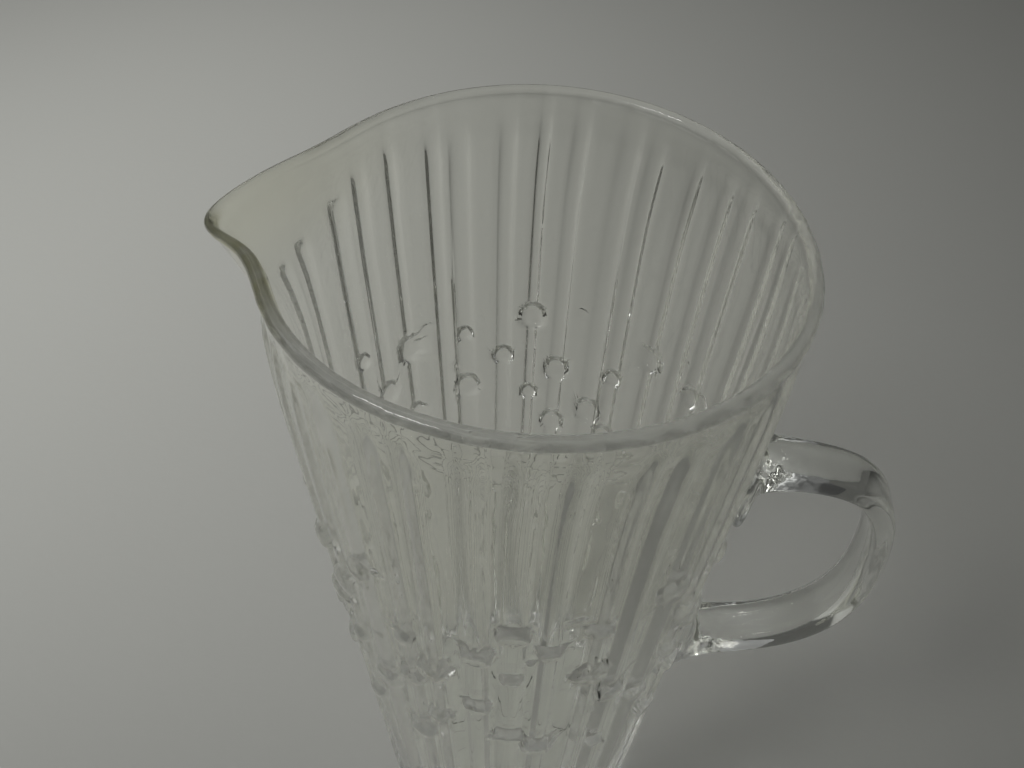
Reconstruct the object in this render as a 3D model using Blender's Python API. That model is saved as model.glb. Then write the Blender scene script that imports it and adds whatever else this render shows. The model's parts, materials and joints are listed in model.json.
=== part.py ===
import math

import bmesh
import bpy
from mathutils import Vector

# A tall glass jug: a tapering body with reeds and small rounded drops on its outside,
# a fire-polished rim drawn out into a pouring lip, and an applied strap handle.
# The table is z = 0, the body's axis is Z, the handle points to +X and the lip to -X.
# All lengths are in metres and all angles in radians.

# Body
height = 0.195                 # table to the level of the rim
rim_radius = 0.060             # crests of the reeds, carried up to the rim's level
foot_radius = 0.039            # crests of the reeds, carried down to the table
glass_thickness = 0.0034       # crest of a reed to the smooth inside
piece_gap = 0.0003             # clearance between pieces that touch

# Bottom
floor_thickness = 0.009        # solid glass under the inside floor
floor_fillet = 0.005           # hollow round between the floor and the wall
heel_radius = 0.003            # outer round above the standing face

# Reeds
reed_count = 36
reed_height = 0.0010
reed_half_width = 0.0017
reed_drift = 0.16              # how far a reed strays from an even pitch, in pitches
reed_waves = 14                # turns of that straying round the body
reed_head = 0.0105             # depth of the reeds' rounded tops below the rim
reed_head_spread = 0.0020      # how far the tops vary round that depth
reed_head_under_lip = 0.0125   # how much lower the tops lie under the lip
reed_head_length = 0.0030      # length over which a top rounds off

# Drops on the reeds
drop_low = 0.062               # heights of the zone that holds drops
drop_high = 0.135
drop_half_width = 0.0033       # of a mean drop
drop_half_height = 0.0036
drop_half_depth = 0.0026
drop_stand_out = 0.0017        # how far a drop stands out from its reed's crest
drop_size_spread = 0.22        # share by which drops vary round the mean
drop_seal_gap = 0.0005         # least distance from a drop to a handle seal
drops_per_reed = 3             # at most: some are left out
drop_scatter = 0.0034          # how far drops stray up or down from an even spacing

# Rim
band_height = 0.008            # smooth band over the reeds, its bead included
band_step = 0.0005             # how far the band lies inside the reeds' crests
bead_radius = 0.0016           # fire-polished round of the rim

# Lip
lip_reach = 0.0148             # how far the lip is pulled out of the round
lip_half_angle = 0.252
lip_depth = 0.017              # how far down the wall the pull can be seen
lip_droop = 0.0048
lip_droop_angle = 0.20
lip_piece_angle = 0.80         # half of the arc that the lip takes of the rim
rim_narrowing = 0.0031         # the pull narrows the rim lengthways and widens it across
rim_shift = 0.0011             # towards the handle
rim_narrowing_depth = 0.020
rim_wave = 0.0010              # the rim's sides stand higher than its ends
rim_tilt = 0.0013              # the rim falls towards the handle
rim_wave_depth = 0.025

# Handle
handle_top = 0.1365            # height of the strap's centre where it leaves the body
handle_bottom = 0.0665         # and where it comes back
handle_bow = 0.108             # height at which the strap stands out most
handle_reach = 0.0382          # body to the strap's centre there
strap_width = 0.014
strap_thickness = 0.0064       # at its upper end
strap_thickness_low = 0.0078   # at its lower end
strap_flare = 0.0068           # how much thicker the strap is where it meets a seal
strap_flare_length = 0.0055
strap_back_flare = 0.25        # share of that flare on the strap's other face
strap_flatness = 3.0           # 2 is an oval section, larger is flatter
upper_run = 0.027              # how long the strap keeps its direction at each end
upper_turn = 0.0255
lower_turn = 0.0225
lower_run = 0.0285
lower_rise = 0.0040            # over the lower run
seal_thickness = 0.0034        # glass pressed on to the reeds at each end
seal_spread = 0.0010           # how far a seal shows beyond the strap at each side
upper_seal_above = 0.0035      # reach of the upper seal above and below the strap's centre
upper_seal_below = 0.0200
lower_seal_above = 0.0095
lower_seal_below = 0.0100
seal_corner = 0.0050           # rounds of a seal's outline
seal_round = 0.0016            # round of its outer edge

# Fineness
wall_rows = (0.60, 0.88, 0.97)  # rows of points up the wall, as shares of its plain part
inner_top_rows = 3
strap_steps = 26
strap_section_points = 16
seal_mesh_size = 0.004


def crest_radius(z):
    return foot_radius + (rim_radius - foot_radius) * z / height


def inner_radius(z):
    return crest_radius(z) - glass_thickness


def from_lip(angle):
    return math.remainder(angle - math.pi, math.tau)


def place(angle, radius, z):
    """A point of the round body, moved by the pull that made the lip."""
    depth = max(height - z, 0.0)
    away = from_lip(angle)
    fade = math.exp(-((depth / lip_depth) ** 1.5))
    pull = fade * math.exp(-(abs(away / lip_half_angle) ** 1.9))
    droop = fade * math.exp(-((away / lip_droop_angle) ** 2))
    narrowing = math.exp(-((depth / rim_narrowing_depth) ** 2))
    wave = math.exp(-((depth / rim_wave_depth) ** 2))
    pulled = radius + lip_reach * pull - rim_narrowing * narrowing * math.cos(2 * angle)
    rise = rim_tilt * math.cos(away) - rim_wave * math.cos(2 * angle)
    return Vector(
        (
            pulled * math.cos(angle) + rim_shift * narrowing,
            pulled * math.sin(angle),
            z + wave * rise - lip_droop * droop,
        )
    )


def reed_angle(index):
    drift = reed_drift * math.sin(math.tau * reed_waves * index / reed_count)
    return (index + 0.5 + drift) * math.tau / reed_count


def reed_head_height(index):
    under_lip = reed_head_under_lip * math.exp(-(abs(from_lip(reed_angle(index)) / 0.6) ** 3))
    spread = reed_head_spread * math.sin(5.3 * index)
    return height - reed_head - under_lip - spread


def add_ring(mesh, points):
    return [mesh.verts.new(point) for point in points]


def join_rings(mesh, full, other):
    """Faces between two rings. The first may hold two points for each of the second's."""
    share = len(full) // len(other)
    start = share - 1
    for index in range(len(other)):
        first = [full[(start + index * share + step) % len(full)] for step in range(share + 1)]
        mesh.faces.new([*first, other[(index + 1) % len(other)], other[index]])


def finish(mesh, name, material):
    """An object with outward faces, smooth where the glass is round."""
    bmesh.ops.recalc_face_normals(mesh, faces=mesh.faces)
    data = bpy.data.meshes.new(name)
    mesh.to_mesh(data)
    mesh.free()
    data.shade_smooth()
    data.set_sharp_from_angle(angle=math.radians(50))
    data.materials.append(material)
    piece = bpy.data.objects.new(name, data)
    bpy.context.scene.collection.objects.link(piece)
    return piece


def glass(name, colour, roughness):
    material = bpy.data.materials.new(name)
    material.use_nodes = True
    shader = material.node_tree.nodes["Principled BSDF"]
    shader.inputs["Base Color"].default_value = (*colour, 1.0)
    shader.inputs["Metallic"].default_value = 0.0
    shader.inputs["Roughness"].default_value = roughness
    shader.inputs["IOR"].default_value = 1.52
    shader.inputs["Transmission Weight"].default_value = 0.85
    return material


def reed_angles(index, z):
    """A reed's foot, crest and foot, and the middle of the hollow after it."""
    half = reed_half_width / crest_radius(z)
    middle = reed_angle(index)
    return middle - half, middle, middle + half, 0.5 * (middle + reed_angle(index + 1))


def ring_angles(z):
    return [angle for index in range(reed_count) for angle in reed_angles(index, z)]


def reeded_ring(heights, swell):
    """Outer points, at one height for each reed, with the crests raised by a share of their height."""
    points = []
    for index, z in enumerate(heights):
        root = crest_radius(z) - reed_height
        for angle, rise in zip(reed_angles(index, z), (0.0, swell * reed_height, 0.0, 0.0)):
            points.append(place(angle, root + rise, z))
    return points


def smooth_ring(z, radius):
    """Inner points at one level: two for each reed."""
    return [place(angle, radius, z) for angle in ring_angles(z)[1::2]]


def make_base():
    seam = floor_thickness + floor_fillet
    mesh = bmesh.new()
    outer = [reeded_ring([z] * reed_count, 1.0) for z in (seam, 0.5 * (seam + heel_radius))]
    for turn in (0.0, 45.0, 90.0):
        lift = heel_radius * (1 - math.sin(math.radians(turn)))
        inset = heel_radius * (1 - math.cos(math.radians(turn)))
        ring = reeded_ring([lift] * reed_count, math.cos(math.radians(turn)))
        outer.append([point - inset * point.xy.normalized().to_3d() for point in ring])
    outer_rings = [add_ring(mesh, ring) for ring in outer]
    for upper, lower in zip(outer_rings, outer_rings[1:]):
        join_rings(mesh, upper, lower)
    mesh.faces.new(outer_rings[-1])

    inner_rings = []
    for turn in (90.0, 60.0, 30.0, 0.0):
        z = seam - floor_fillet * math.cos(math.radians(turn))
        inset = floor_fillet * (1 - math.sin(math.radians(turn)))
        inner_rings.append(add_ring(mesh, smooth_ring(z, inner_radius(z) - inset)))
    join_rings(mesh, outer_rings[0], inner_rings[0])
    for upper, lower in zip(inner_rings, inner_rings[1:]):
        join_rings(mesh, upper, lower)
    mesh.faces.new(inner_rings[-1])
    return finish(mesh, "base", glass("base_glass", (0.80, 0.86, 0.82), 0.03))


def make_wall():
    low = floor_thickness + floor_fillet + piece_gap
    high = height - band_height - piece_gap
    heads = [reed_head_height(index) for index in range(reed_count)]
    below_heads = [z - reed_head_length for z in heads]
    above_heads = [0.5 * (z + high) for z in heads]
    straight = [low + (min(below_heads) - low) * share for share in (0.0, *wall_rows)]
    mesh = bmesh.new()
    outer_rings = [add_ring(mesh, reeded_ring([z] * reed_count, 1.0)) for z in straight]
    for heights, swell in ((below_heads, 1.0), (heads, 0.0), (above_heads, 0.0)):
        outer_rings.append(add_ring(mesh, reeded_ring(heights, swell)))
    outer_rings.append(add_ring(mesh, reeded_ring([high] * reed_count, 0.0)))
    inner_heights = list(straight)
    for step in range(1, inner_top_rows + 1):
        inner_heights.append(straight[-1] + (high - straight[-1]) * step / inner_top_rows)
    inner_rings = [add_ring(mesh, smooth_ring(z, inner_radius(z))) for z in inner_heights]
    for rings in (outer_rings, inner_rings):
        for lower, upper in zip(rings, rings[1:]):
            join_rings(mesh, lower, upper)
    join_rings(mesh, outer_rings[0], inner_rings[0])
    join_rings(mesh, outer_rings[-1], inner_rings[-1])
    return finish(mesh, "reeded_wall", glass("wall_glass", (0.90, 0.93, 0.90), 0.04))


def meets_seal(index, z, size):
    """Whether a drop would lie under or against a handle seal."""
    along = abs(math.remainder(reed_angle(index), math.tau)) * crest_radius(z)
    if along > 0.5 * strap_width + seal_spread + drop_half_width * size + drop_seal_gap:
        return False
    margin = drop_half_height * size + drop_seal_gap
    at_top = -upper_seal_below - margin < z - handle_top < upper_seal_above + margin
    at_bottom = -lower_seal_below - margin < z - handle_bottom < lower_seal_above + margin
    return at_top or at_bottom


def drop_places():
    """The reed, height and relative size of each drop. Neighbouring reeds hold theirs at other heights."""
    step_height = (drop_high - drop_low) / drops_per_reed
    for index in range(reed_count):
        for step in range(drops_per_reed):
            left_out = (5 * index + 3 * step) % 13 < 3
            stagger = 0.25 + 0.5 * (index % 2)
            scatter = drop_scatter * math.sin(3.9 * index + 2.6 * step)
            z = drop_low + step_height * (step + stagger) + scatter
            size = 1 + drop_size_spread * math.sin(7.7 * index + 4.1 * step)
            if not left_out and not meets_seal(index, z, size):
                yield index, z, size


def add_drops(wall):
    mesh = bmesh.new()
    for index, z, size in drop_places():
        made = bmesh.ops.create_uvsphere(mesh, u_segments=8, v_segments=4, radius=1.0)
        angle = reed_angle(index)
        centre = crest_radius(z) + drop_stand_out - drop_half_depth
        outward = Vector((math.cos(angle), math.sin(angle), 0.0))
        across = Vector((-math.sin(angle), math.cos(angle), 0.0))
        middle = place(angle, centre, z)
        for vertex in made["verts"]:
            out, side, up = vertex.co
            vertex.co = (
                middle
                + outward * out * drop_half_depth
                + across * side * drop_half_width * size
                + Vector((0.0, 0.0, up * drop_half_height * size))
            )
    drops = finish(mesh, "drops", wall.data.materials[0])
    drops.hide_render = True
    drops.display_type = "WIRE"
    union = wall.modifiers.new("drops on the reeds", "BOOLEAN")
    union.operation = "UNION"
    union.solver = "EXACT"
    union.object = drops


def loft(mesh, sections):
    """A solid through closed sections. Its two end faces are returned."""
    rings = [add_ring(mesh, section) for section in sections]
    for first, second in zip(rings, rings[1:]):
        join_rings(mesh, first, second)
    return [mesh.faces.new(rings[0]), mesh.faces.new(rings[-1])]


def rim_section(angle):
    low = height - band_height
    bead_centre = height - bead_radius
    neck = bead_centre - bead_radius
    outside = crest_radius(low) - band_step
    outline = [(outside, low), (crest_radius(neck) - band_step, neck)]
    for turn in (-20.0, 35.0, 90.0, 145.0, 200.0):
        reach = bead_radius * math.cos(math.radians(turn))
        rise = bead_radius * math.sin(math.radians(turn))
        outline.append((rim_radius - bead_radius + reach, bead_centre + rise))
    outline += [(inner_radius(neck), neck), (inner_radius(low), low)]
    return [place(angle, radius, z) for radius, z in outline]


def rim_arc(name, start, end, material):
    """The rim's piece from one angle to another, its sections in line with the wall's points."""
    turns = [angle + turn for turn in (-math.tau, 0.0) for angle in ring_angles(height - band_height)]
    angles = [start, *(angle for angle in turns if start < angle < end), end]
    mesh = bmesh.new()
    loft(mesh, [rim_section(angle) for angle in angles])
    return finish(mesh, name, material)


def make_rim():
    gap_angle = piece_gap / (rim_radius - rim_narrowing - glass_thickness)
    rim_end = math.pi - lip_piece_angle - gap_angle
    rim_arc("rim", -rim_end, rim_end, glass("rim_glass", (0.88, 0.92, 0.88), 0.03))
    lip_start = math.pi - lip_piece_angle
    lip_end = math.pi + lip_piece_angle
    rim_arc("pouring_lip", lip_start, lip_end, glass("lip_glass", (0.80, 0.82, 0.66), 0.03))


def on_body(out, along, z):
    """A point so far out from the reeds' crests, and so far along the body from the handle's plane."""
    angle = along / crest_radius(z)
    return place(angle, crest_radius(z) + out, z)


def strap_curve(part):
    """The strap's centre, in the handle's plane, and its direction, for a part from 0 to 1."""
    start_out = piece_gap + seal_thickness
    bow = Vector((crest_radius(handle_bow) + handle_reach, handle_bow))
    if part < 0.5:
        start = on_body(start_out, 0.0, handle_top).xz
        points = (
            start,
            start + Vector((upper_run, 0.0)),
            bow + Vector((0.0, upper_turn)),
            bow,
        )
        t = 2 * part
    else:
        end = on_body(start_out, 0.0, handle_bottom).xz
        points = (
            bow,
            bow - Vector((0.0, lower_turn)),
            end + Vector((lower_run, lower_rise)),
            end,
        )
        t = 2 * part - 1
    a, b, c, d = points
    centre = a * (1 - t) ** 3 + b * 3 * t * (1 - t) ** 2 + c * 3 * t * t * (1 - t) + d * t**3
    along = (b - a) * (1 - t) ** 2 + (c - b) * 2 * t * (1 - t) + (d - c) * t * t
    return centre, along.normalized()


def strap_section(part):
    centre, along = strap_curve(part)
    inward = Vector((along.y, -along.x))
    from_start = (centre - strap_curve(0.0)[0]).length
    from_end = (centre - strap_curve(1.0)[0]).length
    thickness = strap_thickness + (strap_thickness_low - strap_thickness) * part
    flare_start = strap_flare * math.exp(-from_start / strap_flare_length)
    flare_end = strap_flare * math.exp(-from_end / strap_flare_length)
    section = []
    for step in range(strap_section_points):
        turn = math.tau * step / strap_section_points
        wide = math.copysign(abs(math.cos(turn)) ** (2 / strap_flatness), math.cos(turn))
        thick = math.copysign(abs(math.sin(turn)) ** (2 / strap_flatness), math.sin(turn))
        flares = (flare_start, strap_back_flare * flare_end)
        if thick < 0:
            flares = (strap_back_flare * flare_start, flare_end)
        reach = (0.5 * thickness + sum(flares)) * thick
        point = centre + inward * reach
        section.append(Vector((point.x, 0.5 * strap_width * wide, point.y)))
    return section


def make_strap():
    mesh = bmesh.new()
    ends = loft(mesh, [strap_section(step / strap_steps) for step in range(strap_steps + 1)])
    on_seals = [vertex for end in ends for vertex in end.verts]
    on_seals += bmesh.ops.poke(mesh, faces=ends)["verts"]
    for vertex in on_seals:
        vertex.co.x = on_body(2 * piece_gap + seal_thickness, vertex.co.y, vertex.co.z).x
    return finish(mesh, "handle_strap", glass("handle_glass", (0.88, 0.91, 0.87), 0.03))


def make_seal(name, above, below, middle):
    """A pad of glass pressed round the body, a gap away from the crests of the reeds."""
    mesh = bmesh.new()
    bmesh.ops.create_cube(mesh, size=1.0)
    for vertex in mesh.verts:
        vertex.co.x = piece_gap + seal_thickness * (vertex.co.x + 0.5)
        vertex.co.y *= strap_width + 2 * seal_spread
        vertex.co.z = middle - below + (above + below) * (vertex.co.z + 0.5)
    corners = [edge for edge in mesh.edges if edge.verts[0].co.yz == edge.verts[1].co.yz]
    round_edges(mesh, corners, seal_corner)
    face_x = piece_gap + seal_thickness
    outer = [edge for edge in mesh.edges if all(abs(v.co.x - face_x) < 1e-7 for v in edge.verts)]
    round_edges(mesh, outer, seal_round)
    bmesh.ops.triangulate(mesh, faces=mesh.faces)
    long_edges = [edge for edge in mesh.edges if edge.calc_length() > seal_mesh_size]
    bmesh.ops.subdivide_edges(mesh, edges=long_edges, cuts=2, use_grid_fill=True)
    for vertex in mesh.verts:
        vertex.co = on_body(*vertex.co)
    return finish(mesh, name, glass(name + "_glass", (0.86, 0.90, 0.86), 0.06))


def round_edges(mesh, edges, radius):
    bmesh.ops.bevel(
        mesh,
        geom=edges,
        offset=radius,
        segments=3,
        profile=0.5,
        affect="EDGES",
        material=-1,
    )


for leftover in list(bpy.data.objects):
    bpy.data.objects.remove(leftover)
make_base()
add_drops(make_wall())
make_rim()
make_strap()
make_seal("upper_handle_seal", upper_seal_above, upper_seal_below, handle_top)
make_seal("lower_handle_seal", lower_seal_above, lower_seal_below, handle_bottom)
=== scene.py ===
import json
import math

import bmesh
import bpy
import numpy as np
from mathutils import Matrix, Vector

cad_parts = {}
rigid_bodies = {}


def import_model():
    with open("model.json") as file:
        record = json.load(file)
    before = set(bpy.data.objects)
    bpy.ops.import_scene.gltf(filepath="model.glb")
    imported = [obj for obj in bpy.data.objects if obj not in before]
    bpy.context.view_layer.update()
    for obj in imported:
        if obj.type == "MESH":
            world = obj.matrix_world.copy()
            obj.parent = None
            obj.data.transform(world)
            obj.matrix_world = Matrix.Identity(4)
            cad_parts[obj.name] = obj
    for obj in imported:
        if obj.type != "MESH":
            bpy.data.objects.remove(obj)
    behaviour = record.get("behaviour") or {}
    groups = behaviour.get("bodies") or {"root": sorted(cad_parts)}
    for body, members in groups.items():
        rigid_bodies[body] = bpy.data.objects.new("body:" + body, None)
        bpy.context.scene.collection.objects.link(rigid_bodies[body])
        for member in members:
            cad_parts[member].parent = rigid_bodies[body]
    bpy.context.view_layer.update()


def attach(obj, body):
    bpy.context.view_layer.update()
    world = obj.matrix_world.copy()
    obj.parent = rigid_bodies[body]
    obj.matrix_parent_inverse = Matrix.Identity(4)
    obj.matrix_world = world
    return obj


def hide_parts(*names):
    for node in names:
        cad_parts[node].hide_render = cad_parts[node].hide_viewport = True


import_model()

# A clear glass jug with reeds, drops, a pulled lip and a strap handle, on a sheet of pale paper.
# Metres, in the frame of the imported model: the handle points to +X and the lip to -X.
# Sines of uneven steps stand in for chance, so that every run gives the same jug.


# the camera stands where the photograph's camera stood
camera = {
    "lens": 35.16,           # mm on a 36 mm sensor, for an image of 1024 x 768
    "back": 0.1724,          # from the jug's axis
    "above": 0.1113,         # over the rim
    "turn": 0.0908,          # of the view round the jug
    "yaw": -0.0215,
    "pitch": 0.7319,         # downwards
    "roll": 0.0398,
}


def makeCamera(rimHeight):
    data = bpy.data.cameras.new("photographView")
    data.lens = camera["lens"]
    data.sensor_width = 36.0
    data.clip_start = 0.01
    view = bpy.data.objects.new("photographView", data)
    turned = Matrix.Rotation(camera["turn"], 4, "Z")
    place = Matrix.Translation((0.0, -camera["back"], rimHeight + camera["above"]))
    aim = Matrix.Rotation(-camera["yaw"], 4, "Z") @ Matrix.Rotation(0.5 * math.pi - camera["pitch"], 4, "X")
    view.matrix_world = turned @ place @ aim @ Matrix.Rotation(camera["roll"], 4, "Z")
    bpy.context.scene.collection.objects.link(view)
    bpy.context.scene.camera = view


class Wire:
    # a socket of a node tree: numbers and wires can be added, multiplied and so on

    def __init__(self, tree, socket=None):
        self.tree = tree
        self.socket = socket

    def node(self, kind, inputs=None, output=0, **settings):
        made = self.tree.nodes.new(kind)
        for name, value in settings.items():
            setattr(made, name, value)
        for name, value in (inputs or {}).items():
            self.feed(made.inputs[name], value)
        return Wire(self.tree, made.outputs[output] if made.outputs else None)

    def feed(self, socket, value):
        if isinstance(value, Wire):
            self.tree.links.new(value.socket, socket)
        else:
            socket.default_value = value

    def maths(self, operation, *values):
        return self.node("ShaderNodeMath", dict(enumerate(values)), operation=operation)

    def __add__(self, other):
        return self.maths("ADD", self, other)

    def __sub__(self, other):
        return self.maths("SUBTRACT", self, other)

    def __rsub__(self, other):
        return self.maths("SUBTRACT", other, self)

    def __mul__(self, other):
        return self.maths("MULTIPLY", self, other)

    def noise(self, place, scale, detail):
        return self.node("ShaderNodeTexNoise", {"Vector": place, "Scale": scale, "Detail": detail}, "Fac")

    def mixed(self, share, first, second):
        # a blend of two colours
        ends = [value if isinstance(value, Wire) else (*value, 1.0) for value in (first, second)]
        return self.node("ShaderNodeMix", {"Factor": share, 6: ends[0], 7: ends[1]}, 2, data_type="RGBA")

    def between(self, low, high):
        # 0 below low, 1 above high and smooth between them
        return self.node(
            "ShaderNodeMapRange",
            {"Value": self, "From Min": low, "From Max": high},
            interpolation_type="SMOOTHSTEP",
        )

    __radd__ = __add__
    __rmul__ = __mul__


body = {
    "height": 0.195,
    "rimRadius": 0.060,       # crests of the reeds, carried up to the rim's level
    "footRadius": 0.039,      # and down to the table
    "wall": 0.0034,
    "floor": 0.009,
    "floorFillet": 0.005,
    "filletSteps": 5,
    "heel": 0.003,
    "band": 0.008,            # smooth band under the rim
    "bandStep": 0.0005,
    "bandFade": 0.005,        # over which the wall thickens into the band
    "bead": 0.0016,
    "beadSteps": 11,
    "dropRow": 0.00066,       # spacing of the rows of points where drops are
    "headRow": 0.0013,        # and where the reeds end
    "headZone": 0.028,        # depth below the rim down to which the reeds end
    "plainRow": 0.009,
    "heelTurns": (0, 25, 45, 62, 77),  # degrees
    "innerRow": 0.0028,       # spacing inside, near the rim
    "innerZone": 0.036,       # and down to this depth
    "innerPlainRow": 0.030,
    "innerFollow": 0.00010,   # how far the inside follows the reeds
    "innerBelow": 0.02,       # the rim, where that ends
    "tolerance": 0.0003,      # for telling the outside from the inside
}
reeds = {
    "count": 36,
    "height": 0.0010,
    "halfWidth": 0.0026,
    "widthSpread": 0.30,
    "drift": 0.16,
    "waves": 14,
    "head": 0.0066,           # depth below the rim at which the reeds have died out
    "headSpread": 0.0018,
    "headUnderLip": 0.0125,
    "headLength": 0.0105,
    "shorterUnderLip": 0.72,  # the heads end more abruptly there
    "inBand": 0.10,           # share of the reeds' height that is left in the band
    "fullness": 2.7,          # 2 is a round crest, more is a flatter one with steeper sides
    "footPower": 1.4,         # more is a softer foot
    "crowding": 0.75,         # under 1 brings the points across a reed nearer to its feet
    "steps": 14,              # points across one reed and its hollow
    "footSteps": 5,
}
drops = {
    "low": 0.062,
    "high": 0.135,
    "margin": 0.004,          # of closely spaced rows of points below and above
    "perReed": 3,
    "halfWidth": 0.0036,
    "halfHeight": 0.0042,
    "standOut": 0.0013,
    "sizeSpread": 0.26,
    "scatter": 0.0034,
    "undercut": 0.76,         # a drop's lower half is shorter and steeper
    "sealGap": 0.0005,
    "fleckHalfWidth": 0.0014,  # small ones in the hollows
    "fleckHalfHeight": 0.0010,
    "fleckHeight": 0.0006,
    "flatness": 3.0,          # 2 is a round dome, more is flatter
    "melt": 6.0,              # less is a softer hollow between a drop and its reed
    "gathered": 2.2,          # how many more rows of points there are at a lower edge
    "gatheredAt": 0.7,        # share of the way from the middle to that edge
    "gatheredOver": 0.0022,
    "levels": 400,            # at which their spacing is worked out
    "around": 1.3,            # half widths within which points are moved for a drop
    "edge": 1.01,             # in half widths
    "edgeMargin": 0.11,       # points so near the edge move on to it
    "lowEdgeMargin": 0.04,    # and at the bottom, where the rows are closer
    "middle": 0.5,            # within which points draw together
}
lip = {
    "reach": 0.0148,
    "halfAngle": 0.252,
    "depth": 0.017,
    "droop": 0.0048,
    "droopAngle": 0.20,
    "narrowing": 0.0031,
    "narrowingDepth": 0.020,
    "shift": 0.0011,
    "wave": 0.0010,
    "tilt": 0.0013,
    "waveDepth": 0.025,
    "reedsNear": 0.6,         # half angle in which the reeds' heads are lower and lean towards the lip
    "lean": 0.15,
    "leanDepth": 0.017,
    "depthPower": 1.5,
    "anglePower": 1.9,
}


def crestRadius(z):
    return body["footRadius"] + (body["rimRadius"] - body["footRadius"]) * z / body["height"]


def turnedIn(angle):
    return np.remainder(angle + math.pi, math.tau) - math.pi


def placed(angle, radius, z):
    # points of the round body, moved by the pull that made the lip
    depth = np.maximum(body["height"] - z, 0.0)
    away = turnedIn(angle - math.pi)
    fade = np.exp(-((depth / lip["depth"]) ** lip["depthPower"]))
    pull = fade * np.exp(-(np.abs(away / lip["halfAngle"]) ** lip["anglePower"]))
    droop = fade * np.exp(-((away / lip["droopAngle"]) ** 2))
    narrowing = np.exp(-((depth / lip["narrowingDepth"]) ** 2))
    wave = np.exp(-((depth / lip["waveDepth"]) ** 2))
    pulled = radius + lip["reach"] * pull - lip["narrowing"] * narrowing * np.cos(2 * angle)
    rise = lip["tilt"] * np.cos(away) - lip["wave"] * np.cos(2 * angle)
    x = pulled * np.cos(angle) + lip["shift"] * narrowing
    return np.stack([x, pulled * np.sin(angle), z + wave * rise - lip["droop"] * droop], axis=-1)


def reedAngle(index):
    drift = reeds["drift"] * np.sin(math.tau * reeds["waves"] * index / reeds["count"])
    return (index + 0.5 + drift) * math.tau / reeds["count"]


def reedSwell(index, z):
    # share of a reed's height: it rises from the heel and dies out below the rim, lower down under the lip
    underLip = np.exp(-((np.abs(turnedIn(reedAngle(index) - math.pi)) / lip["reedsNear"]) ** 3))
    top = body["height"] - reeds["head"] - reeds["headUnderLip"] * underLip
    top -= reeds["headSpread"] * np.sin(5.3 * index)
    length = reeds["headLength"] * (1 - reeds["shorterUnderLip"] * underLip)
    intoHead = np.clip((z - top + length) / length, 0.0, 1.0)
    swell = np.maximum(1 - intoHead**2, reeds["inBand"] * (1 - underLip))
    return swell * (1 - heelInset(z) / body["heel"])


def heelInset(z):
    up = np.clip(z / body["heel"], 0.0, 1.0)
    return body["heel"] * (1 - np.sqrt(1 - (1 - up) ** 2))


def rootRadius(z):
    # the hollows between the reeds, and above them the band
    into = np.clip((z - body["height"] + body["band"] + body["bandFade"]) / body["bandFade"], 0.0, 1.0)
    rise = (reeds["height"] - body["bandStep"]) * into * into * (3 - 2 * into)
    return crestRadius(z) - reeds["height"] + rise - heelInset(z)


def arc(centreRadius, centreZ, radius, start, end, steps):
    turns = np.radians(np.linspace(start, end, steps))
    return list(zip(centreRadius + radius * np.cos(turns), centreZ + radius * np.sin(turns)))


def rows(start, end, spacing):
    # heights of rows of points, without the last one
    return np.linspace(start, end, max(2, round(abs(end - start) / spacing) + 1))[:-1]


def dropZone():
    return drops["low"] - drops["margin"], drops["high"] + drops["margin"]


def bodyOutline():
    # half of the body's section, from the middle of the standing face round to the middle of the floor
    high = body["height"]
    neck = high - 2 * body["bead"]
    dropsLow, dropsHigh = dropZone()
    headsLow, headsHigh = high - body["headZone"], high - body["band"]
    heights = [*body["heel"] * (1 - np.cos(np.radians(body["heelTurns"])))]
    heights += [*rows(body["heel"], dropsLow, body["plainRow"])]
    heights += [*rows(dropsLow, dropsHigh, body["dropRow"])]
    heights += [*rows(dropsHigh, headsLow, body["plainRow"])]
    heights += [*rows(headsLow, headsHigh, body["headRow"]), headsHigh, neck]
    outline = [(0.0, 0.0), (0.5 * body["footRadius"], 0.0)]
    outline += [(rootRadius(z), z) for z in heights]
    bead = body["bead"]
    outline += arc(body["rimRadius"] - bead, high - bead, bead, -20, 200, body["beadSteps"])
    seam = body["floor"] + body["floorFillet"]
    innerLow = high - body["innerZone"]
    inner = [*rows(neck, innerLow, body["innerRow"]), *rows(innerLow, seam, body["innerPlainRow"])]
    outline += [(crestRadius(z) - body["wall"], z) for z in inner]
    filletRadius = crestRadius(seam) - body["wall"] - body["floorFillet"]
    outline += arc(filletRadius, seam, body["floorFillet"], 0, -90, body["filletSteps"])
    return outline + [(0.5 * filletRadius, body["floor"]), (0.0, body["floor"])]


def dropPlaces():
    # angle, height, half width, half height and rise over the hollows, for each drop and fleck
    spacing = (drops["high"] - drops["low"]) / drops["perReed"]
    for index in range(reeds["count"]):
        for step in range(drops["perReed"]):
            # drops of neighbouring reeds are half a spacing apart, and about a quarter is left out
            z = drops["low"] + spacing * (step + 0.25 + 0.5 * (index % 2))
            z += drops["scatter"] * math.sin(3.9 * index + 2.6 * step)
            size = 1 + drops["sizeSpread"] * math.sin(7.7 * index + 4.1 * step)
            leftOut = (5 * index + 3 * step) % 13 < 3
            if not leftOut and not meetsSeal(index, z, size):
                rise = reeds["height"] + drops["standOut"]
                yield reedAngle(index), z, drops["halfWidth"] * size, drops["halfHeight"] * size, rise
            fleck = 0.8 + 0.45 * math.sin(5.1 * index + 1.7 * step)
            if (3 * index + 4 * step) % 7 < 4:
                hollow = 0.5 * (reedAngle(index) + reedAngle(index + 1))
                hollow += 0.012 * math.sin(2.3 * index + step)
                high = z + spacing * (0.32 + 0.2 * math.sin(4.3 * index + 3.1 * step))
                yield (
                    hollow,
                    high,
                    drops["fleckHalfWidth"] * fleck,
                    drops["fleckHalfHeight"] * fleck,
                    drops["fleckHeight"] * fleck,
                )


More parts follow.
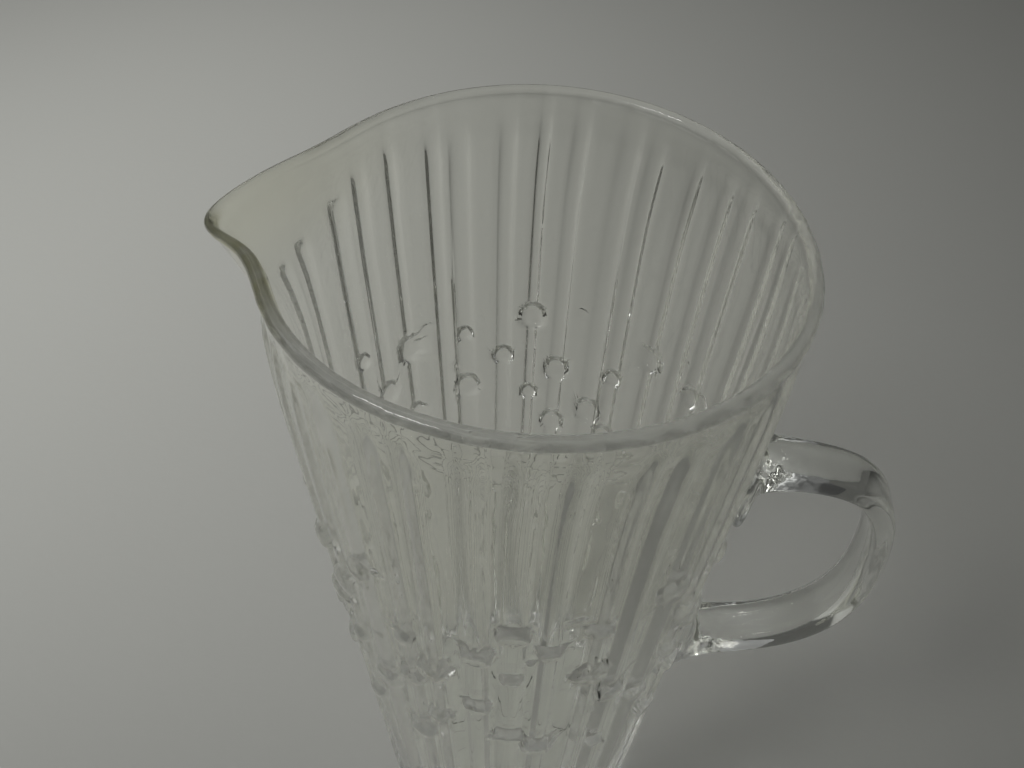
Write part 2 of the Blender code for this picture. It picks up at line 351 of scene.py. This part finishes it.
def meetsSeal(index, z, size):
    along = abs(math.remainder(reedAngle(index), math.tau)) * crestRadius(z)
    if along > 0.5 * handle["width"] + handle["sealSpread"] + drops["halfWidth"] * size + drops["sealGap"]:
        return False
    margin = drops["halfHeight"] * size + drops["sealGap"]
    atTop = -handle["upperBelow"] - margin < z - handle["top"] < handle["upperAbove"] + margin
    atBottom = -handle["lowerBelow"] - margin < z - handle["bottom"] < handle["lowerAbove"] + margin
    return atTop or atBottom


def rowShift(index, z):
    # rows of points come closer together at the lower edges of each reed's drops
    low, high = dropZone()
    levels = np.linspace(low, high, drops["levels"])
    shift = np.zeros_like(z)
    for reed in range(reeds["count"]):
        weight = np.ones_like(levels)
        for angle, middle, _, halfHeight, rise in dropPlaces():
            if rise > reeds["height"] and abs(turnedIn(angle - reedAngle(reed))) < 1e-6:
                edge = middle - drops["gatheredAt"] * drops["undercut"] * halfHeight
                weight += drops["gathered"] * np.exp(-(((levels - edge) / drops["gatheredOver"]) ** 2))
        total = np.cumsum(weight)
        share = (total - total[0]) / (total[-1] - total[0])
        onReed = (index == reed) & (z > low) & (z < high)
        shift[onReed] = np.interp((z[onReed] - low) / (high - low), share, levels) - z[onReed]
    return shift


def alignToReeds(angle, z):
    # shifts evenly spaced points so that they follow every reed's crest and both of its feet
    step = np.rint(angle / math.tau * reeds["count"] * reeds["steps"]).astype(int)
    half = reeds["steps"] // 2
    index = np.floor_divide(step, reeds["steps"])
    across = step - index * reeds["steps"] - half
    middle = reedAngle(index)
    neighbour = reedAngle(index + np.sign(across))
    foot = reeds["halfWidth"] * (1 + reeds["widthSpread"] * np.sin(4.7 * index)) / crestRadius(z)
    part = np.clip(np.abs(across) / reeds["footSteps"], 0.0, 1.0)
    beyond = np.clip((np.abs(across) - reeds["footSteps"]) / (half - reeds["footSteps"]), 0.0, 1.0)
    share = part ** reeds["crowding"]
    reachOut = foot * share + (0.5 * np.abs(neighbour - middle) - foot) * beyond
    return middle + np.sign(across) * reachOut, index, share, beyond


def bodyMesh():
    # the section is spun over one reed, and that wedge is copied round
    mesh = bmesh.new()
    points = [mesh.verts.new((radius, 0.0, z)) for radius, z in bodyOutline()]
    edges = [mesh.edges.new(pair) for pair in zip(points, points[1:])]
    wedge = math.tau / reeds["count"]
    spinRound(mesh, points + edges, wedge, reeds["steps"])
    made = mesh.verts[:] + mesh.edges[:] + mesh.faces[:]
    for index in range(1, reeds["count"]):
        copy = bmesh.ops.duplicate(mesh, geom=made)["geom"]
        corners = [item for item in copy if isinstance(item, bmesh.types.BMVert)]
        turn = Matrix.Rotation(index * wedge, 3, "Z")
        bmesh.ops.rotate(mesh, verts=corners, cent=(0.0, 0.0, 0.0), matrix=turn)
    bmesh.ops.remove_doubles(mesh, verts=mesh.verts, dist=1e-6)
    bmesh.ops.recalc_face_normals(mesh, faces=mesh.faces)
    return mesh


def spinRound(mesh, outline, angle, steps):
    bmesh.ops.spin(
        mesh,
        geom=outline,
        cent=(0.0, 0.0, 0.0),
        axis=(0.0, 0.0, 1.0),
        angle=angle,
        steps=steps,
        use_merge=angle == math.tau,
        use_duplicate=False,
    )


def shapeBody(data):
    flat = np.empty(len(data.vertices) * 3)
    data.vertices.foreach_get("co", flat)
    x, y, z = flat.reshape(-1, 3).T
    radius = np.hypot(x, y)
    outside = radius > rootRadius(z) - body["tolerance"]
    unturned = np.arctan2(y, x) % math.tau
    angle, index, across, beyond = alignToReeds(unturned, z)
    shift = np.where(outside, rowShift(index, z) * (1 - beyond), 0.0)
    radius += rootRadius(z + shift) - rootRadius(z)
    z = z + shift
    angle = alignToReeds(unturned, z)[0]

    # points near a drop's edge move on to it, so that its outline is clean
    dropRise = np.zeros_like(z)
    for middle, high, halfWidth, halfHeight, rise in dropPlaces():
        near = outside & (np.abs(z - high) < drops["around"] * halfHeight)
        near &= np.abs(turnedIn(angle - middle)) * crestRadius(z) < drops["around"] * halfWidth
        side = turnedIn(angle[near] - middle) * crestRadius(z[near]) / halfWidth
        up = (z[near] - high) / halfHeight
        up = np.where(up < 0, up / drops["undercut"], up)
        reach = np.hypot(side, up)
        fromMiddle = np.maximum(reach, drops["middle"])
        closer = (drops["edgeMargin"] - drops["lowEdgeMargin"]) * np.maximum(-up, 0.0) / fromMiddle
        atEdge = np.abs(reach - drops["edge"]) < drops["edgeMargin"] - closer
        reach = np.where(atEdge, 1.0, reach)
        side, up = (value * reach / fromMiddle for value in (side, up))
        angle[near] = middle + side * halfWidth / crestRadius(z[near])
        z[near] = high + np.where(up < 0, up * drops["undercut"], up) * halfHeight
        dome = rise * (1 - np.minimum(reach, 1.0) ** drops["flatness"]) ** 0.5
        dropRise[near] = np.maximum(dropRise[near], dome)

    reedRise = reeds["height"] * (1 - across ** reeds["fullness"]) ** reeds["footPower"]
    reedRise *= reedSwell(index, z)
    melted = (reedRise ** drops["melt"] + dropRise ** drops["melt"]) ** (1 / drops["melt"])
    rise = np.where(outside, melted, 0.0)

    # the reeds' heads lean towards the lip
    away = turnedIn(angle - math.pi)
    fade = np.exp(-(((body["height"] - z) / lip["leanDepth"]) ** 2))
    angle -= lip["lean"] * fade * away * np.exp(-((away / lip["reedsNear"]) ** 2))
    inWall = ~outside & (z > body["floor"] + body["floorFillet"])
    inWall &= z < body["height"] - body["innerBelow"]
    follow = np.where(inWall, body["innerFollow"] * np.cos(math.pi * across), 0.0)
    shaped = placed(angle, radius + rise + follow, z)
    onAxis = radius < 1e-6
    shaped[onAxis] = flat.reshape(-1, 3)[onAxis]
    data.vertices.foreach_set("co", shaped.ravel())
    data.update()


handle = {
    "top": 0.1365,
    "bottom": 0.0665,
    "bow": 0.108,
    "reach": 0.0382,
    "width": 0.014,
    "thicknessHigh": 0.0064,
    "thicknessLow": 0.0078,
    "flare": 0.0062,
    "flareLength": 0.0055,
    "backFlare": 0.25,
    "flatness": 3.4,
    "hollow": 0.09,           # how much thinner the strap is along its middle
    "upperRun": 0.027,
    "upperTurn": 0.0255,
    "lowerTurn": 0.0225,
    "lowerRun": 0.0285,
    "lowerRise": 0.0040,
    "sealThickness": 0.0034,
    "sealSpread": 0.0010,
    "upperAbove": 0.0035,
    "upperBelow": 0.0200,
    "lowerAbove": 0.0095,
    "lowerBelow": 0.0100,
    "sealFlatness": 3.4,
    "gap": 0.0003,            # to the crests of the reeds
    "sunk": 0.4,              # share of a seal's thickness at which the strap's ends stand
    "sections": 72,
    "sectionSteps": 40,
    "voxel": 0.00045,
    "smoothings": 10,
}


def onBody(out, along, z):
    angle = along / crestRadius(z)
    return placed(angle, crestRadius(z) + out, z)


def strapCentre(part):
    # the strap's centre and direction in the handle's plane, for a part from 0 to 1
    bow = Vector((crestRadius(handle["bow"]) + handle["reach"], handle["bow"]))
    out = handle["gap"] + handle["sunk"] * handle["sealThickness"]
    if part < 0.5:
        start = Vector(onBody(out, 0.0, handle["top"])).xz
        run = Vector((handle["upperRun"], 0.0))
        points = (start, start + run, bow + Vector((0.0, handle["upperTurn"])), bow)
        t = 2 * part
    else:
        end = Vector(onBody(out, 0.0, handle["bottom"])).xz
        rise = Vector((handle["lowerRun"], handle["lowerRise"]))
        points = (bow, bow - Vector((0.0, handle["lowerTurn"])), end + rise, end)
        t = 2 * part - 1
    a, b, c, d = points
    centre = a * (1 - t) ** 3 + b * 3 * t * (1 - t) ** 2 + c * 3 * t * t * (1 - t) + d * t**3
    along = (b - a) * (1 - t) ** 2 + (c - b) * 2 * t * (1 - t) + (d - c) * t * t
    return centre, along.normalized()


def strapPoint(turn, part):
    centre, along = strapCentre(part)
    inward = Vector((along.y, -along.x))
    fromStart = (centre - strapCentre(0.0)[0]).length
    fromEnd = (centre - strapCentre(1.0)[0]).length
    thickness = handle["thicknessHigh"] + (handle["thicknessLow"] - handle["thicknessHigh"]) * part
    flareStart = handle["flare"] * math.exp(-fromStart / handle["flareLength"])
    flareEnd = handle["flare"] * math.exp(-fromEnd / handle["flareLength"])
    wide = math.copysign(abs(math.cos(turn)) ** (2 / handle["flatness"]), math.cos(turn))
    thick = math.copysign(abs(math.sin(turn)) ** (2 / handle["flatness"]), math.sin(turn))
    if thick < 0:
        flares = handle["backFlare"] * flareStart + flareEnd
    else:
        flares = flareStart + handle["backFlare"] * flareEnd
    thickness *= 1 - handle["hollow"] * math.cos(0.5 * math.pi * wide) ** 2
    point = centre + inward * (0.5 * thickness + flares) * thick
    return Vector((point.x, 0.5 * handle["width"] * wide, point.y))


def addStrap(mesh):
    # a straight tube of unit radius, one long for each section, then bent to shape
    made = bmesh.ops.create_circle(mesh, segments=handle["sectionSteps"], radius=1.0)
    points = made["verts"]
    edges = list({edge for point in points for edge in point.link_edges})
    tube, lowEdges = list(points), edges
    for _ in range(handle["sections"]):
        made = bmesh.ops.extrude_edge_only(mesh, edges=edges)["geom"]
        points = [item for item in made if isinstance(item, bmesh.types.BMVert)]
        edges = [
            item
            for item in made
            if isinstance(item, bmesh.types.BMEdge) and all(end in points for end in item.verts)
        ]
        bmesh.ops.translate(mesh, verts=points, vec=(0.0, 0.0, 1.0))
        tube += points
    bmesh.ops.holes_fill(mesh, edges=lowEdges + edges)
    for point in tube:
        x, y, section = point.co
        point.co = strapPoint(math.atan2(y, x), section / handle["sections"])


def addSeal(mesh, above, below, middle):
    made = bmesh.ops.create_icosphere(mesh, subdivisions=5, radius=1.0)
    power = handle["sealFlatness"]
    halfWidth = 0.5 * handle["width"] + handle["sealSpread"]
    halfHeight = 0.5 * (above + below)
    for point in made["verts"]:
        reach = sum(abs(value) ** power for value in point.co) ** (1 / power)
        out, along, up = point.co / reach
        z = middle - below + halfHeight * (up + 1)
        point.co = onBody(handle["gap"] + 0.5 * handle["sealThickness"] * (out + 1), along * halfWidth, z)


def handleMesh():
    mesh = bmesh.new()
    addStrap(mesh)
    addSeal(mesh, handle["upperAbove"], handle["upperBelow"], handle["top"])
    addSeal(mesh, handle["lowerAbove"], handle["lowerBelow"], handle["bottom"])
    bmesh.ops.recalc_face_normals(mesh, faces=mesh.faces)
    return mesh


def meltTogether(piece):
    # one skin round the strap and its seals, with soft hollows where they meet
    melt = piece.modifiers.new("melt", "REMESH")
    melt.mode = "VOXEL"
    melt.voxel_size = handle["voxel"]
    graph = bpy.context.evaluated_depsgraph_get()
    mesh = bmesh.new()
    mesh.from_mesh(bpy.data.meshes.new_from_object(piece.evaluated_get(graph)))
    piece.modifiers.clear()
    for _ in range(handle["smoothings"]):
        bmesh.ops.smooth_vert(
            mesh, verts=mesh.verts, factor=0.5, use_axis_x=True, use_axis_y=True, use_axis_z=True
        )
    mesh.to_mesh(piece.data)
    mesh.free()


def makePiece(name, mesh, material):
    data = bpy.data.meshes.new(name)
    mesh.to_mesh(data)
    mesh.free()
    data.materials.append(material)
    piece = bpy.data.objects.new(name, data)
    bpy.context.scene.collection.objects.link(piece)
    return piece


glass = {
    "clear": (0.994, 0.996, 0.955),
    "thick": (0.955, 0.965, 0.945),    # base and handle
    "lip": (0.955, 0.95, 0.86),
    "lipEdge": (0.24, 0.23, 0.07),     # the thick edge is seen along its length
    "edgeHigh": 0.1905,                # the edge at the lip's tip
    "edgeOut": 0.073,
    "edgeSlope": 0.346,                # its rise from there towards the rim
    "ior": 1.5,
    "smear": 0.010,                    # roughness of finger marks
    "ripple": 0.000030,                # metres, drawn out along the reeds
    "rippleScale": 210.0,
    "rippleStretch": 0.12,
    "chill": 0.00013,                  # metres, small dents of the rim
    "chillScale": 180.0,
    "wrinkle": 0.00022,                # metres, where the handle was pressed on
    "wrinkleScale": 420.0,
    "shade": 0.97,                     # light that passes into the shadow
    "edgeShade": 0.80,
    "edgeBlend": 0.35,
    "blotches": (0.55, 0.45),          # least share of the handle's tint, and what the blotches add
    "blotchScale": 35.0,
    "streaks": (0.45, 0.75),           # the same for streaks in the lip's edge
    "streakScale": 240.0,
    "smearScale": 22.0,
    "smears": (0.52, 0.75),
    "lipFade": (-0.062, -0.030),       # over which a tint fades out, in metres away from the lip
    "lipDepth": (0.006, 0.028),        # and below its edge
    "edgeFade": (-0.048, -0.034),
    "edgeSide": (-0.005, 0.003),       # the near side, in Y
    "edgeDepth": (0.0024, 0.0046),
    "baseFade": 0.012,
    "chillDepth": (0.014, 0.007),      # depth below the rim at which the dents begin and are full
    "wrinkleReach": (0.003, 0.026),    # distance from the wall over which the wrinkles fade out
}


def makeGlass(name, isHandle):
    material = bpy.data.materials.new(name)
    material.use_nodes = True
    tree = material.node_tree
    tree.nodes.clear()
    graph = Wire(tree)
    place = graph.node("ShaderNodeTexCoord", output="Object")
    split = {axis: graph.node("ShaderNodeSeparateXYZ", {"Vector": place}, axis) for axis in "XYZ"}
    out, high = split["X"], split["Z"]
    blotch = graph.noise(place, glass["blotchScale"], 3.0)
    streak = graph.noise(place, glass["streakScale"], 2.0)
    edge = glass["edgeHigh"] + glass["edgeSlope"] * (out + glass["edgeOut"])
    belowEdge = edge.maths("MINIMUM", edge, body["height"]) - high
    inLip = (1 - out.between(*glass["lipFade"])) * (1 - belowEdge.between(*glass["lipDepth"]))
    inEdge = (1 - out.between(*glass["edgeFade"])) * (1 - split["Y"].between(*glass["edgeSide"]))
    inEdge = inEdge * (1 - belowEdge.between(*glass["edgeDepth"]))
    inBase = 1 - high.between(body["floor"], body["floor"] + glass["baseFade"])
    least, more = glass["blotches"]
    thick = least + more * blotch if isHandle else inBase
    least, more = glass["streaks"]
    inEdge = inEdge * (least + more * streak)
    tinted = glass["clear"]
    for share, colour in ((thick, "thick"), (inLip, "lip"), (inEdge, "lipEdge")):
        tinted = graph.mixed(share, tinted, glass[colour])
    smears = graph.noise(place, glass["smearScale"], 5.0)
    stretch = (1.0, 1.0, glass["rippleStretch"])
    drawn = graph.node("ShaderNodeVectorMath", {0: place, 1: stretch}, operation="MULTIPLY")
    ripples = graph.noise(drawn, glass["rippleScale"], 2.0)
    relief = graph.node("ShaderNodeBump", {"Height": ripples, "Distance": glass["ripple"], "Strength": 1.0})
    if isHandle:
        wall = body["footRadius"] + (body["rimRadius"] - body["footRadius"]) / body["height"] * high
        uneven, dents = 1 - (out - wall).between(*glass["wrinkleReach"]), "wrinkle"
    else:
        uneven, dents = high.between(*(body["height"] - depth for depth in glass["chillDepth"])), "chill"
    small = graph.noise(place, glass[dents + "Scale"], 1.0)
    relief = graph.node(
        "ShaderNodeBump",
        {"Height": uneven * small, "Distance": glass[dents], "Strength": 1.0, "Normal": relief},
    )
    clear = graph.node(
        "ShaderNodeBsdfPrincipled",
        {
            "Base Color": tinted,
            "Roughness": smears.between(*glass["smears"]) * glass["smear"],
            "Normal": relief,
            "IOR": glass["ior"],
            "Transmission Weight": 1.0,
        },
    )
    facing = graph.node("ShaderNodeLayerWeight", {"Blend": glass["edgeBlend"]}, "Facing")
    straight = graph.node("ShaderNodeBsdfTransparent", {"Color": (*[glass["shade"]] * 3, 1.0)})
    grazing = graph.node("ShaderNodeBsdfTransparent", {"Color": (*[glass["edgeShade"]] * 3, 1.0)})
    shadow = graph.node("ShaderNodeMixShader", {0: facing, 1: straight, 2: grazing})
    lamps = graph.node("ShaderNodeLightPath", output="Is Shadow Ray")
    shown = graph.node("ShaderNodeMixShader", {0: lamps, 1: clear, 2: shadow})
    graph.node("ShaderNodeOutputMaterial", {"Surface": shown})
    return material


stage = {
    "paper": (0.412, 0.415, 0.388),
    "darker": 0.965,          # share of that colour between the fibres
    "fibreScale": 260.0,
    "fibreRelief": 0.0001,
    "fibreStrength": 0.6,
    "roughness": (0.85, 0.1),  # least, and what the fibres add
    "gloss": 0.2,
    "toneScale": 9.0,
    "gap": 0.0001,            # between the paper and the standing face
    "innerRadius": 0.4,
    "radius": 1.3,
    "sweep": 0.5,
    "sweepSteps": 12,
    "roundSteps": 96,
    "wallHeight": 1.0,
    "farTone": (0.085, 0.086, 0.080),
    "farShare": 0.9,
    "far": (0.8, 1.1),        # distance from the jug over which that tone comes in
    "front": (-0.5, -0.2),    # and the same in front of it
}


def makePaper():
    material = bpy.data.materials.new("paper")
    material.use_nodes = True
    tree = material.node_tree
    graph = Wire(tree)
    shader = tree.nodes["Principled BSDF"]
    place = graph.node("ShaderNodeTexCoord", output="Object")
    fibres = graph.noise(place, stage["fibreScale"], 4.0)
    tone = graph.noise(place, stage["toneScale"], 2.0)
    darker = tuple(stage["darker"] * value for value in stage["paper"])
    colour = graph.mixed(0.5 * fibres + 0.5 * tone, darker, stage["paper"])
    relief = graph.node(
        "ShaderNodeBump",
        {"Height": fibres, "Distance": stage["fibreRelief"], "Strength": stage["fibreStrength"]},
    )
    graph.feed(shader.inputs["Base Color"], colour)
    graph.feed(shader.inputs["Normal"], relief)
    smoothest, more = stage["roughness"]
    graph.feed(shader.inputs["Roughness"], smoothest + more * fibres)
    shader.inputs["Specular IOR Level"].default_value = stage["gloss"]

    # far from the lamp the sheet shows one even tone, and lights nothing with it
    back = graph.node("ShaderNodeSeparateXYZ", {"Vector": place}, "Y")
    flat = graph.node("ShaderNodeVectorMath", {0: place, 1: (1.0, 1.0, 0.0)}, operation="MULTIPLY")
    distance = graph.node("ShaderNodeVectorMath", {0: flat}, "Value", operation="LENGTH")
    far = 1 - (1 - distance.between(*stage["far"])) * back.between(*stage["front"])
    seen = 1 - graph.node("ShaderNodeLightPath", output="Is Diffuse Ray")
    even = graph.node("ShaderNodeEmission", {"Color": (*stage["farTone"], 1.0), "Strength": 1.0})
    share = stage["farShare"] * seen * far
    lit = Wire(tree, shader.outputs[0])
    shown = graph.node("ShaderNodeMixShader", {0: share, 1: lit, 2: even})
    graph.feed(tree.nodes["Material Output"].inputs["Surface"], shown)
    return material


def makeStage():
    # a round sheet that turns up into a wall on every side
    mesh = bmesh.new()
    low = -stage["gap"]
    outline = [(0.0, low), (stage["innerRadius"], low), (stage["radius"], low)]
    outline += arc(stage["radius"], stage["sweep"] + low, stage["sweep"], -90, 0, stage["sweepSteps"])[1:]
    outline.append((stage["radius"] + stage["sweep"], stage["wallHeight"]))
    points = [mesh.verts.new((radius, 0.0, z)) for radius, z in outline]
    edges = [mesh.edges.new(pair) for pair in zip(points, points[1:])]
    spinRound(mesh, points + edges, math.tau, stage["roundSteps"])
    bmesh.ops.remove_doubles(mesh, verts=mesh.verts, dist=1e-6)
    bmesh.ops.recalc_face_normals(mesh, faces=mesh.faces)
    bmesh.ops.reverse_faces(mesh, faces=mesh.faces)
    sheet = makePiece("paper", mesh, makePaper())
    sheet.data.shade_smooth()


light = {
    # place, what it faces, width, height, spread in degrees and power
    "soft": ((-0.483, -0.369, 0.846), (-0.255, 0.618, 0.0), 0.26, 0.26, 88, 3.58),
    "glint": ((-0.483, -0.369, 0.846), (0.0, 0.0, 0.15), 0.42, 0.10, 180, 1.5),
    "side": (-0.80, -0.10, 0.58),      # where the room is brightest
    "sides": (0.1, 0.9),      # cosines from that direction between which it goes from dark to bright
    "bright": 0.62,
    "dark": 0.09,
    "colour": (0.985, 1.0, 0.985, 1.0),
    "uneven": (0.5, 1.1),     # the room's furniture: least level, and what is added in its light parts
    "patchScale": 2.6,
    "patches": (0.42, 0.60),
    "onPaper": 0.12,          # share of the room's light that reaches the paper
    "bounces": 40,            # light goes a long way inside thick glass
}


def makeLight():
    # one window as two lamps: the soft one lights the paper, and the other is what the glass shows
    for name in ("soft", "glint"):
        place, aim, width, height, spread, power = light[name]
        pane = bpy.data.lights.new(name, "AREA")
        pane.shape = "RECTANGLE"
        pane.size = width
        pane.size_y = height
        pane.spread = math.radians(spread)
        pane.energy = power
        lamp = bpy.data.objects.new(name, pane)
        lamp.location = place
        lamp.rotation_euler = (Vector(place) - Vector(aim)).to_track_quat("Z", "Y").to_euler()
        lamp.visible_diffuse = name == "soft"
        lamp.visible_glossy = lamp.visible_transmission = name == "glint"
        bpy.context.scene.collection.objects.link(lamp)

    world = bpy.data.worlds.new("room")
    bpy.context.scene.world = world
    world.use_nodes = True
    world.node_tree.nodes.clear()
    graph = Wire(world.node_tree)
    direction = graph.node("ShaderNodeTexCoord", output="Generated")
    towards = graph.node(
        "ShaderNodeVectorMath", {0: direction, 1: light["side"]}, "Value", operation="DOT_PRODUCT"
    )
    level = light["dark"] + (light["bright"] - light["dark"]) * towards.between(*light["sides"])
    patches = graph.noise(direction, light["patchScale"], 1.0)
    least, more = light["uneven"]
    level = level * (least + more * patches.between(*light["patches"]))
    fromPaper = graph.node("ShaderNodeLightPath", output="Is Diffuse Ray")
    level = level * (1 - (1 - light["onPaper"]) * fromPaper)
    room = graph.node("ShaderNodeBackground", {"Color": light["colour"], "Strength": level})
    graph.node("ShaderNodeOutputWorld", {"Surface": room})


scene = bpy.context.scene
scene.view_settings.view_transform = "Standard"
scene.cycles.max_bounces = light["bounces"]
scene.cycles.transmission_bounces = light["bounces"]
scene.cycles.glossy_bounces = light["bounces"]
scene.cycles.transparent_max_bounces = light["bounces"]
makeCamera(body["height"])
print("camera placed")

bodyPiece = makePiece("bodyGlass", bodyMesh(), makeGlass("bodyGlass", False))
shapeBody(bodyPiece.data)
bodyPiece.data.shade_smooth()
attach(bodyPiece, "root")
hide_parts("base", "reeded_wall", "rim", "pouring_lip")
print("body:", len(bodyPiece.data.polygons), "faces")

handlePiece = makePiece("handleGlass", handleMesh(), makeGlass("handleGlass", True))
meltTogether(handlePiece)
handlePiece.data.shade_smooth()
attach(handlePiece, "root")
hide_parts("handle_strap", "upper_handle_seal", "lower_handle_seal")
print("handle:", len(handlePiece.data.polygons), "faces")

makeStage()
makeLight()
print("stage and light set")
